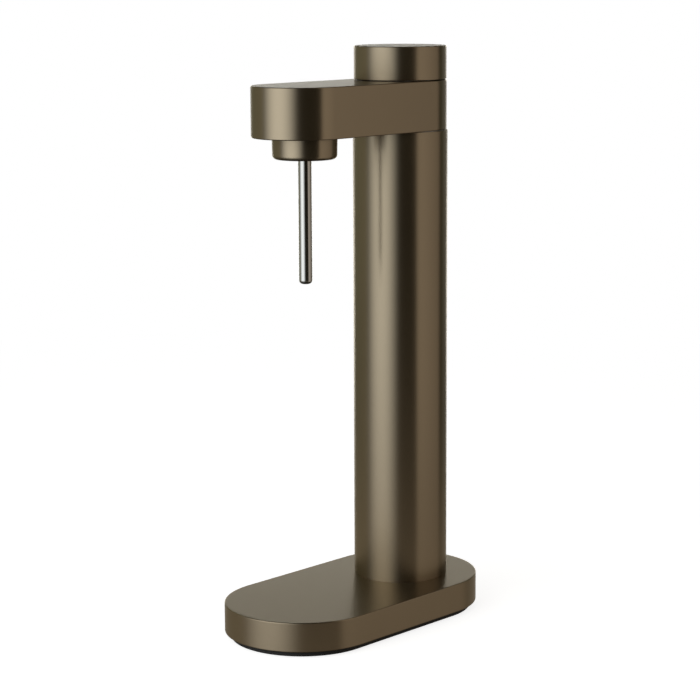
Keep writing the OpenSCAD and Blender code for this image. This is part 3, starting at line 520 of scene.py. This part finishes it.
def finish_for(slot):
    """The material of one of the record's slots, made on its first use."""
    return bpy.data.materials.get("finish." + slot) or named_finish(slot)


def named_finish(slot):
    """Makes a slot's material and gives it the name that finish_for looks for."""
    material = FINISH_MAKERS[slot]()
    material.name = "finish." + slot
    return material


# Pieces

class MAKER_OT_base(bpy.types.Operator):
    """Base shell: a round-ended cover with the column's hole, open below"""

    bl_idname = "maker.base"
    bl_label = "Base shell"

    def execute(self, context):
        sizes = context.scene.maker_sizes
        low, high = heights("base_shell")
        radius = half_width("base_shell")
        end = end_distance("base_shell")
        cavity = radius - sizes.base_wall
        ceiling = high - sizes.base_wall
        hole = half_width("column_tube")
        outside = round_ended_points(outer_wall(radius, low, high, sizes.base_edge, sizes.base_edge), end)
        bore = hole_points(np.array([[hole, high], [hole, ceiling]]), outside[-1], column_y)
        inside = round_ended_points(np.array([[cavity, ceiling], [cavity, low]]), end)
        make_piece("bronze_base_shell", np.concatenate([outside, bore, inside]), True,
                   finish_for("satin_bronze"), "stand", "base_shell")
        return {"FINISHED"}


class MAKER_OT_foot_pad(bpy.types.Operator):
    """Foot pad: a flat rubber plate under the base, with the hatch's hole"""

    bl_idname = "maker.foot_pad"
    bl_label = "Foot pad"

    def execute(self, context):
        sizes = context.scene.maker_sizes
        low, high = heights("foot_pad")
        radius = half_width("foot_pad")
        outside = round_ended_points(
            outer_wall(radius, low, high, sizes.pad_edge, sizes.pad_edge), end_distance("foot_pad"))
        bore = hole_points(
            np.array([[sizes.pad_hole_r, high], [sizes.pad_hole_r, low]]), outside[-1], column_y)
        make_piece("rubber_foot_pad", np.concatenate([outside, bore]), True,
                   finish_for("black_rubber"), "stand", "foot_pad")
        return {"FINISHED"}


class MAKER_OT_column(bpy.types.Operator):
    """Column: a plain tube with slightly broken rims"""

    bl_idname = "maker.column"
    bl_label = "Column"

    def execute(self, context):
        sizes = context.scene.maker_sizes
        low, high = heights("column_tube")
        radius = half_width("column_tube")
        bore = radius - sizes.column_wall
        outside = outer_wall(radius, low, high, sizes.column_edge, sizes.column_edge)
        profile = np.vstack([outside, [[bore, high], [bore, low]]])
        make_piece("bronze_column", turned_points(profile, column_y), True,
                   finish_for("satin_bronze"), "stand", "column_tube")
        return {"FINISHED"}


class MAKER_OT_arm(bpy.types.Operator):
    """Arm: a round-ended cover with the bearing's hole, open below"""

    bl_idname = "maker.arm"
    bl_label = "Arm"

    def execute(self, context):
        sizes = context.scene.maker_sizes
        low, high = heights("arm_shell")
        radius = half_width("arm_shell")
        end = end_distance("arm_shell")
        cavity = radius - sizes.arm_wall
        ceiling = high - sizes.arm_wall
        hole = sizes.arm_hole_r
        outside = round_ended_points(outer_wall(radius, low, high, sizes.arm_edge, sizes.arm_edge), end)
        bore = hole_points(np.array([[hole, high], [hole, ceiling]]), outside[-1], column_y)
        inside = round_ended_points(np.array([[cavity, ceiling], [cavity, low]]), end)
        make_piece("bronze_arm", np.concatenate([outside, bore, inside]), True,
                   finish_for("satin_bronze"), "stand", "arm_shell")
        return {"FINISHED"}


class MAKER_OT_knob(bpy.types.Operator):
    """Knob: a round cap, closed on top and open below"""

    bl_idname = "maker.knob"
    bl_label = "Knob"

    def execute(self, context):
        sizes = context.scene.maker_sizes
        low, high = heights("knob_shell")
        radius = half_width("knob_shell")
        bore = radius - sizes.knob_wall
        ceiling = high - sizes.knob_top
        outside = outer_wall(radius, low, high, sizes.knob_lower_edge, sizes.knob_edge)
        across = np.linspace(1, 0, 6)[1:, None]
        top = np.hstack([across * outside[-1, 0], np.full_like(across, high)])
        lower_lip = [[radius - sizes.knob_lower_edge - SUPPORT, low]]
        profile = np.vstack([[[0, ceiling], [bore, ceiling], [bore, low]], lower_lip, outside, top])
        make_piece("bronze_knob", turned_points(profile, column_y), False,
                   finish_for("satin_bronze"), "knob", "knob_shell")
        return {"FINISHED"}


class MAKER_OT_collar(bpy.types.Operator):
    """Bottle collar: a short cup under the arm with a rounded lower edge and a round socket"""

    bl_idname = "maker.collar"
    bl_label = "Bottle collar"

    def execute(self, context):
        sizes = context.scene.maker_sizes
        low, high = heights("bottle_collar")
        upper_r = half_width("bottle_collar")
        lower_r = upper_r - sizes.collar_taper
        edge = sizes.collar_edge
        lip = sizes.socket_edge
        socket = sizes.socket_r
        roof = high - sizes.collar_roof
        profile = np.vstack([
            arc(socket + lip, low + lip, lip, 180, 270),
            [[lower_r - edge - SUPPORT, low]],
            arc(lower_r - edge, low + edge, edge, -90, 0),
            [[lower_r, low + edge + SUPPORT], [upper_r, high]],
            [[sizes.spigot_hole_r, high], [sizes.spigot_hole_r, roof]],
            [[socket, roof], [socket, low + lip + SUPPORT]],
        ])
        make_piece("bronze_collar", turned_points(profile, nozzle_y), True,
                   finish_for("satin_bronze"), "stand", "bottle_collar")
        return {"FINISHED"}


class MAKER_OT_tube(bpy.types.Operator):
    """Carbonating tube: polished, with a rounded tip and a small outlet"""

    bl_idname = "maker.tube"
    bl_label = "Carbonating tube"

    def execute(self, context):
        sizes = context.scene.maker_sizes
        low, high = heights("nozzle_tube")
        radius = half_width("nozzle_tube")
        bore = radius - sizes.tube_wall
        tip = sizes.tip_round
        profile = np.vstack([
            [[sizes.outlet_r, low]],
            arc(radius - tip, low + tip, tip, -90, 0),
            [[radius, low + tip + SUPPORT], [radius, high], [bore, high]],
            [[bore, low + sizes.tip_wall], [sizes.outlet_r, low + sizes.tip_wall]],
        ])
        make_piece("steel_carbonating_tube", turned_points(profile, nozzle_y), True,
                   finish_for("polished_steel"), "stand", "nozzle_tube")
        return {"FINISHED"}


class MAKER_OT_inner_parts(bpy.types.Operator):
    """Gives every CAD piece that stays in view the finish of its slot"""

    bl_idname = "maker.inner_parts"
    bl_label = "Inner parts"

    def execute(self, context):
        for part in frame["record"]["subparts"]:
            node = frame["nodes"][part["node"]]
            if node.hide_render:
                continue
            node.data.materials.clear()
            node.data.materials.append(finish_for(part["material_slot"]))
        return {"FINISHED"}


# Stage

# Radii of the sweep's rings in metres, and its matt colour
FLOOR_RINGS = (0.001, 1.0, 6.0, 70.0)
FLOOR_COLOUR = (0.5, 0.5, 0.5, 1)
# Distance at which the sweep starts to turn plain white to the camera, and where it is
WHITE_FROM = 0.45
WHITE_AT = 1.3
# Level of the world's grey light
WORLD_LIGHT = 0.35
WHITE = (1, 1, 1, 1)
# Nearest point that the camera still shows
CLIP_START = 0.01

# Black cloth round and over everything, as the metal sees it
CLOTH_DISTANCE = 7.0
CLOTH_HEIGHT = 9.0
CLOTH_RINGS = (0.001, CLOTH_DISTANCE)
CLOTH_COLOUR = (0.013, 0.011, 0.006)

# Cards round the object: first and last bearing in degrees from the front (-Y) towards +X,
# distance, lowest and highest edge in metres, and the colours at both ends
CARD_POINTS = 24
CARDS = {
    "side_card": (90.5, 152.5, 0.40, 0.0, 1.0, (0.56, 0.49, 0.41), (0.34, 0.29, 0.24)),
    "side_edge_card": (86, 90.5, 0.40, 0.0, 1.0, (0.04, 0.035, 0.03), (0.5, 0.43, 0.36)),
    "high_card": (38, 90, 6.0, 1.3, 5.0, (0.11, 0.095, 0.07), (0.11, 0.095, 0.07)),
    "dim_card": (157, 170, 1.5, 0.0, 1.2, (0.08, 0.08, 0.05), (0.10, 0.10, 0.07)),
    "pale_edge_card": (170, 196, 1.5, 0.0, 1.2, (0.2, 0.2, 0.18), (0.25, 0.25, 0.24)),
    "rear_lower_card": (196, 250, 6.0, 0.0, 0.35, (0.55, 0.56, 0.57), (0.55, 0.56, 0.57)),
    "rear_middle_card": (196, 250, 6.0, 0.35, 1.1, (3.4, 3.4, 3.25), (3.4, 3.4, 3.25)),
    "rear_upper_card": (196, 250, 6.0, 1.1, 5.0, (0.22, 0.22, 0.2), (0.22, 0.22, 0.2)),
    "left_card": (250, 312, 1.35, 0.0, 1.2, (0.24, 0.245, 0.18), (0.33, 0.31, 0.23)),
}

# Front softbox: bearing, distance, lowest and highest edge. Along its front, from left to right,
# its brightness rises from the first place to the second and falls from the third to the last
KEY = {"bearing": -6.1, "distance": 0.89, "low": 0.0, "high": 1.25}
KEY_PROFILE = (-0.96, -0.03, 0.05, 0.97)
KEY_STRIPS = 15
KEY_COLOUR = (0.97, 1.0, 1.0)

# The sweep as the metal sees it: from and to which distance from the object it changes and where
# its own glow ends, that glow near and far, and how much it mirrors near and far
SHEEN_FROM = 0.06
SHEEN_TO = 1.2
GLOW_TO = 0.95
GLOW_NEAR = 0.25
GLOW_FAR = 0.0
GLOW_COLOUR = (1, 0.84, 0.66, 1)
MIRROR_NEAR = 0.41
MIRROR_FAR = 0.85
MIRROR_ROUGHNESS = 0.24
# Share of both where the sweep is looked at steeply, and the facing values between which it grows
STEEP_SHARE = 0.1
STEEP_AT = 0.25
GRAZE_AT = 0.8


def bearing_vector(degrees):
    """Level direction at a bearing from the front (-Y) towards +X: (sin, -cos)."""
    return Vector((math.sin(math.radians(degrees)), -math.cos(math.radians(degrees)), 0))


def curved_card(name, start, end, distance, low, high):
    """Upright card bent round the object: x = d sin a, y = -d cos a, z from low to high, for bearings a."""
    bearing = np.radians(np.linspace(start, end, CARD_POINTS))
    foot = np.stack([
        distance * np.sin(bearing), -distance * np.cos(bearing), np.full(CARD_POINTS, low)], -1)
    points = np.concatenate([foot, foot + [0, 0, high - low]])
    first = np.arange(CARD_POINTS - 1)
    faces = np.stack([first, first + 1, first + 1 + CARD_POINTS, first + CARD_POINTS], -1)
    mesh = bpy.data.meshes.new(name)
    mesh.from_pydata(points, [], faces)
    card = bpy.data.objects.new(name, mesh)
    bpy.context.scene.collection.objects.link(card)
    card.visible_camera = False
    card.visible_shadow = False
    return card


def level_fan(name, rings, height):
    """Mesh of a level fan round the origin: x = r cos t, y = r sin t, at one height."""
    turn = np.linspace(0, 2 * math.pi, TURN_POINTS, endpoint=False)
    radius = np.array(rings)[:, None]
    points = np.stack([radius * np.cos(turn), radius * np.sin(turn), height + 0 * radius * turn], -1)
    mesh = bpy.data.meshes.new(name)
    mesh.from_pydata(points.reshape(-1, 3), [], strip_faces(*points.shape[:2], False))
    return mesh


def overhead_cloth():
    """Level round cloth overhead."""
    cloth = bpy.data.objects.new(
        "overhead_cloth", level_fan("overhead_cloth", CLOTH_RINGS, CLOTH_HEIGHT))
    bpy.context.scene.collection.objects.link(cloth)
    cloth.visible_camera = False
    cloth.visible_shadow = False
    return cloth


def glowing(name, first, last, start, end):
    """Emission from the first colour at the start bearing to the last one at the end bearing."""
    material = bpy.data.materials.new(name)
    material.use_nodes = True
    tree = material.node_tree
    tree.nodes.clear()
    output = tree.nodes.new("ShaderNodeOutputMaterial")
    light = tree.nodes.new("ShaderNodeEmission")
    place = tree.nodes.new("ShaderNodeTexCoord")
    parts = tree.nodes.new("ShaderNodeSeparateXYZ")
    back = add_node(tree, "ShaderNodeMath", operation="MULTIPLY")
    back.inputs[1].default_value = -1
    bearing = add_node(tree, "ShaderNodeMath", operation="ARCTAN2")
    span = add_node(tree, "ShaderNodeMapRange",
                    {"From Min": wrapped(start), "From Max": wrapped(start) + math.radians(end - start)})
    mix = add_node(tree, "ShaderNodeMix", data_type="RGBA")
    mix.inputs["A"].default_value = (*first, 1)
    mix.inputs["B"].default_value = (*last, 1)
    wire(tree,
         (place.outputs["Object"], parts.inputs["Vector"]),
         (parts.outputs["Y"], back.inputs[0]),
         (parts.outputs["X"], bearing.inputs[0]),
         (back.outputs["Value"], bearing.inputs[1]),
         (bearing.outputs["Value"], span.inputs["Value"]),
         (span.outputs["Result"], mix.inputs["Factor"]),
         (mix.outputs["Result"], light.inputs["Color"]),
         (light.outputs["Emission"], output.inputs["Surface"]))
    return material


def wrapped(degrees):
    """A bearing in radians from minus to plus half a turn, as an arc tangent gives it."""
    return math.radians((degrees + 180) % 360 - 180)


def sweep_material(lit_level):
    """Pale sweep: lifted to white for the camera, glowing and mirroring for the metal, matt otherwise."""
    material = bpy.data.materials.new("pale_sweep")
    material.use_nodes = True
    tree = material.node_tree
    tree.nodes.clear()
    output = tree.nodes.new("ShaderNodeOutputMaterial")
    path = tree.nodes.new("ShaderNodeLightPath")
    place = tree.nodes.new("ShaderNodeTexCoord")
    away = add_node(tree, "ShaderNodeVectorMath", operation="LENGTH")
    wire(tree, (place.outputs["Object"], away.inputs["Vector"]))

    # What the camera sees: matt and lit, lifted towards white, and plain white further off
    matt = add_node(tree, "ShaderNodeBsdfDiffuse", {"Color": FLOOR_COLOUR})
    lift = add_node(tree, "ShaderNodeEmission", {"Color": WHITE})
    lift_amount = add_node(tree, "ShaderNodeMath", operation="MULTIPLY")
    lift_amount.inputs[1].default_value = 1 - lit_level
    near = tree.nodes.new("ShaderNodeAddShader")
    white = add_node(tree, "ShaderNodeEmission", {"Color": WHITE, "Strength": 1.0})
    fade = add_node(tree, "ShaderNodeMapRange", {"From Min": WHITE_FROM, "From Max": WHITE_AT},
                    interpolation_type="SMOOTHSTEP")
    seen = add_node(tree, "ShaderNodeMath", operation="MULTIPLY")
    shown = tree.nodes.new("ShaderNodeMixShader")
    wire(tree,
         (path.outputs["Is Camera Ray"], lift_amount.inputs[0]),
         (lift_amount.outputs["Value"], lift.inputs["Strength"]),
         (matt.outputs["BSDF"], near.inputs[0]),
         (lift.outputs["Emission"], near.inputs[1]),
         (away.outputs["Value"], fade.inputs["Value"]),
         (path.outputs["Is Camera Ray"], seen.inputs[0]),
         (fade.outputs["Result"], seen.inputs[1]),
         (seen.outputs["Value"], shown.inputs["Fac"]),
         (near.outputs["Shader"], shown.inputs[1]),
         (white.outputs["Emission"], shown.inputs[2]))

    # What the metal sees: a warm glow near the object that gives way to a mirror of the cards
    glow_level = add_node(
        tree, "ShaderNodeMapRange",
        {"From Min": SHEEN_FROM, "From Max": GLOW_TO, "To Min": GLOW_NEAR, "To Max": GLOW_FAR},
        interpolation_type="SMOOTHSTEP")
    mirror_level = add_node(
        tree, "ShaderNodeMapRange",
        {"From Min": SHEEN_FROM, "From Max": SHEEN_TO, "To Min": MIRROR_NEAR, "To Max": MIRROR_FAR})
    tilt = add_node(tree, "ShaderNodeLayerWeight", {"Blend": 0.5})
    graze = add_node(tree, "ShaderNodeMapRange",
                     {"From Min": STEEP_AT, "From Max": GRAZE_AT, "To Min": STEEP_SHARE, "To Max": 1.0})
    glow_seen = add_node(tree, "ShaderNodeMath", operation="MULTIPLY")
    mirror_seen = add_node(tree, "ShaderNodeMath", operation="MULTIPLY")
    glow = add_node(tree, "ShaderNodeEmission", {"Color": GLOW_COLOUR})
    mirror = add_node(tree, "ShaderNodeBsdfGlossy", {"Roughness": MIRROR_ROUGHNESS})
    sheen = tree.nodes.new("ShaderNodeAddShader")
    final = tree.nodes.new("ShaderNodeMixShader")
    wire(tree,
         (away.outputs["Value"], glow_level.inputs["Value"]),
         (away.outputs["Value"], mirror_level.inputs["Value"]),
         (tilt.outputs["Facing"], graze.inputs["Value"]),
         (glow_level.outputs["Result"], glow_seen.inputs[0]),
         (graze.outputs["Result"], glow_seen.inputs[1]),
         (glow_seen.outputs["Value"], glow.inputs["Strength"]),
         (mirror_level.outputs["Result"], mirror_seen.inputs[0]),
         (graze.outputs["Result"], mirror_seen.inputs[1]),
         (mirror_seen.outputs["Value"], mirror.inputs["Color"]),
         (glow.outputs["Emission"], sheen.inputs[0]),
         (mirror.outputs["BSDF"], sheen.inputs[1]),
         (path.outputs["Is Glossy Ray"], final.inputs["Fac"]),
         (shown.outputs["Shader"], final.inputs[1]),
         (sheen.outputs["Shader"], final.inputs[2]),
         (final.outputs["Shader"], output.inputs["Surface"]))
    return material


def white_world():
    """World that is white to the camera, to metal and to clear things, and a grey light otherwise."""
    world = bpy.data.worlds.new("white_world")
    world.use_nodes = True
    tree = world.node_tree
    tree.nodes.clear()
    output = tree.nodes.new("ShaderNodeOutputWorld")
    path = tree.nodes.new("ShaderNodeLightPath")
    shown = add_node(tree, "ShaderNodeMath", operation="MAXIMUM")
    shown_or_clear = add_node(tree, "ShaderNodeMath", operation="MAXIMUM")
    level = add_node(tree, "ShaderNodeMapRange", {"To Min": WORLD_LIGHT, "To Max": 1.0})
    light = add_node(tree, "ShaderNodeBackground", {"Color": WHITE})
    wire(tree,
         (path.outputs["Is Camera Ray"], shown.inputs[0]),
         (path.outputs["Is Glossy Ray"], shown.inputs[1]),
         (shown.outputs["Value"], shown_or_clear.inputs[0]),
         (path.outputs["Is Transmission Ray"], shown_or_clear.inputs[1]),
         (shown_or_clear.outputs["Value"], level.inputs["Value"]),
         (level.outputs["Result"], light.inputs["Strength"]),
         (light.outputs["Background"], output.inputs["Surface"]))
    return world


def add_floor(studio):
    """Round sweep at the table's height."""
    mesh = level_fan("sweep", FLOOR_RINGS, 0)
    mesh.materials.append(sweep_material(studio.floor_light))
    floor = bpy.data.objects.new("sweep", mesh)
    bpy.context.scene.collection.objects.link(floor)


def key_share(place):
    """Share of the softbox's full brightness: a smooth rise times a smooth fall along its front."""
    start, full_from, full_to, end = KEY_PROFILE
    rise = np.clip((place - start) / (full_from - start), 0, 1)
    fall = np.clip((end - place) / (end - full_to), 0, 1)
    return rise * rise * (3 - 2 * rise) * fall * fall * (3 - 2 * fall)


def add_key(studio):
    """Front softbox as upright area lamps side by side; a lamp's power is its brightness times its area."""
    outwards = bearing_vector(KEY["bearing"])
    along = bearing_vector(KEY["bearing"] + 90)
    height = KEY["high"] - KEY["low"]
    edges = np.linspace(KEY_PROFILE[0], KEY_PROFILE[-1], KEY_STRIPS + 1)
    for index, (start, end) in enumerate(zip(edges[:-1], edges[1:])):
        middle = (start + end) / 2
        lamp = bpy.data.lights.new(f"softbox_strip_{index}", "AREA")
        lamp.shape = "RECTANGLE"
        lamp.size = end - start
        lamp.size_y = height
        lamp.energy = key_share(middle) * studio.key_strength * math.pi * lamp.size * height
        lamp.color = KEY_COLOUR
        strip = bpy.data.objects.new(lamp.name, lamp)
        bpy.context.scene.collection.objects.link(strip)
        strip.location = (outwards * KEY["distance"] + along * middle
                          + Vector((0, 0, (KEY["low"] + KEY["high"]) / 2)))
        strip.rotation_mode = "QUATERNION"
        strip.rotation_quaternion = (-outwards).to_track_quat("-Z", "Y")
        strip.visible_camera = False


def add_camera(studio):
    """Camera at the fitted place: looks along its heading, pitched down and turned about its own axis."""
    data = bpy.data.cameras.new("camera")
    data.lens = studio.camera_lens
    camera = bpy.data.objects.new("camera", data)
    bpy.context.scene.collection.objects.link(camera)
    level = Vector((*studio.camera_heading, 0)).normalized()
    forward = level * math.cos(studio.camera_pitch) - Vector((0, 0, math.sin(studio.camera_pitch)))
    camera.location = studio.camera_place
    camera.rotation_mode = "QUATERNION"
    camera.rotation_quaternion = (
        forward.to_track_quat("-Z", "Y") @ Quaternion((0, 0, 1), studio.camera_roll))
    data.clip_start, data.clip_end = CLIP_START, 2 * FLOOR_RINGS[-1]
    bpy.context.scene.camera = camera


class MAKER_OT_studio(bpy.types.Operator):
    """White studio: camera, pale sweep, front softbox, cards and a black cloth round and over them"""

    bl_idname = "maker.studio"
    bl_label = "Studio"

    def execute(self, context):
        studio = context.scene.maker_studio
        context.scene.view_settings.view_transform = "Standard"
        context.scene.world = white_world()
        add_camera(studio)
        add_floor(studio)
        add_key(studio)
        black_cloth = glowing("black_cloth", CLOTH_COLOUR, CLOTH_COLOUR, 0, 180)
        for cloth in (curved_card("black_cloth", 0, 360, CLOTH_DISTANCE, 0.0, CLOTH_HEIGHT),
                      overhead_cloth()):
            cloth.data.materials.append(black_cloth)
            cloth.visible_diffuse = False
        for name, (start, end, distance, low, high, first, last) in CARDS.items():
            card = curved_card(name, start, end, distance, low, high)
            card.data.materials.append(glowing(name, first, last, start, end))
        return {"FINISHED"}


class MAKER_PT_panel(bpy.types.Panel):
    """Lists the pieces and the studio in the sidebar"""

    bl_idname = "MAKER_PT_panel"
    bl_label = "Sparkling water maker"
    bl_space_type = "VIEW_3D"
    bl_region_type = "UI"
    bl_category = TAB

    def draw(self, context):
        for operator in OPERATORS:
            self.layout.operator(operator.bl_idname)
        for group in (context.scene.maker_sizes, context.scene.maker_finish, context.scene.maker_studio):
            box = self.layout.box()
            for name in group.__annotations__:
                box.prop(group, name)


OPERATORS = (
    MAKER_OT_base,
    MAKER_OT_foot_pad,
    MAKER_OT_column,
    MAKER_OT_arm,
    MAKER_OT_knob,
    MAKER_OT_collar,
    MAKER_OT_tube,
    MAKER_OT_inner_parts,
    MAKER_OT_studio,
)
CLASSES = (MakerSizes, MakerFinish, MakerStudio, *OPERATORS, MAKER_PT_panel)


def register():
    """Registers the classes and hangs the three groups of values on the scene."""
    for cls in CLASSES:
        bpy.utils.register_class(cls)
    bpy.types.Scene.maker_sizes = bpy.props.PointerProperty(type=MakerSizes)
    bpy.types.Scene.maker_finish = bpy.props.PointerProperty(type=MakerFinish)
    bpy.types.Scene.maker_studio = bpy.props.PointerProperty(type=MakerStudio)


def unregister():
    """Takes back what register did."""
    del bpy.types.Scene.maker_studio
    del bpy.types.Scene.maker_finish
    del bpy.types.Scene.maker_sizes
    for cls in reversed(CLASSES):
        bpy.utils.unregister_class(cls)


def main():
    register()
    for operator in OPERATORS:
        getattr(bpy.ops.maker, operator.bl_idname.split(".")[1])()


if __name__ == "__main__":
    main()
